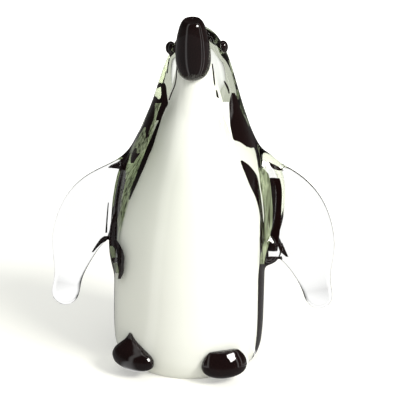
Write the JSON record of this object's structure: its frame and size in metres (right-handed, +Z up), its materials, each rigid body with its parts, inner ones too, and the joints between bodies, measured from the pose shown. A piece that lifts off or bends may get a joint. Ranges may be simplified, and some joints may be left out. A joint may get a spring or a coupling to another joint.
{
  "type": "penguin figurine",
  "caption": "Free-standing art-glass penguin with a white core, black back, clear casing and flippers, black beak, eyes and feet, looking up.",
  "frame": {"origin": "centre of the flat base, on the surface that the figurine stands on", "axes": "+Z up through the beak, -Y the way the penguin faces, +X the penguin's left"},
  "size_m": [0.132, 0.0682, 0.1599],
  "materials": {
    "opal_white_glass": "fire-polished opal glass, opaque white",
    "black_glass": "fire-polished, opaque black that turns deep red-purple at thin edges",
    "clear_glass": "fire-polished clear soda-lime glass with a faint green cast where it is thick"
  },
  "bodies": {
    "root": {"white_core": "opal_white_glass", "black_back": "black_glass", "clear_casing": "clear_glass", "beak": "black_glass", "eye_left": "black_glass", "eye_right": "black_glass", "flipper_left": "clear_glass", "flipper_right": "clear_glass", "foot_left": "black_glass", "foot_right": "black_glass"}
  },
  "joints": []
}
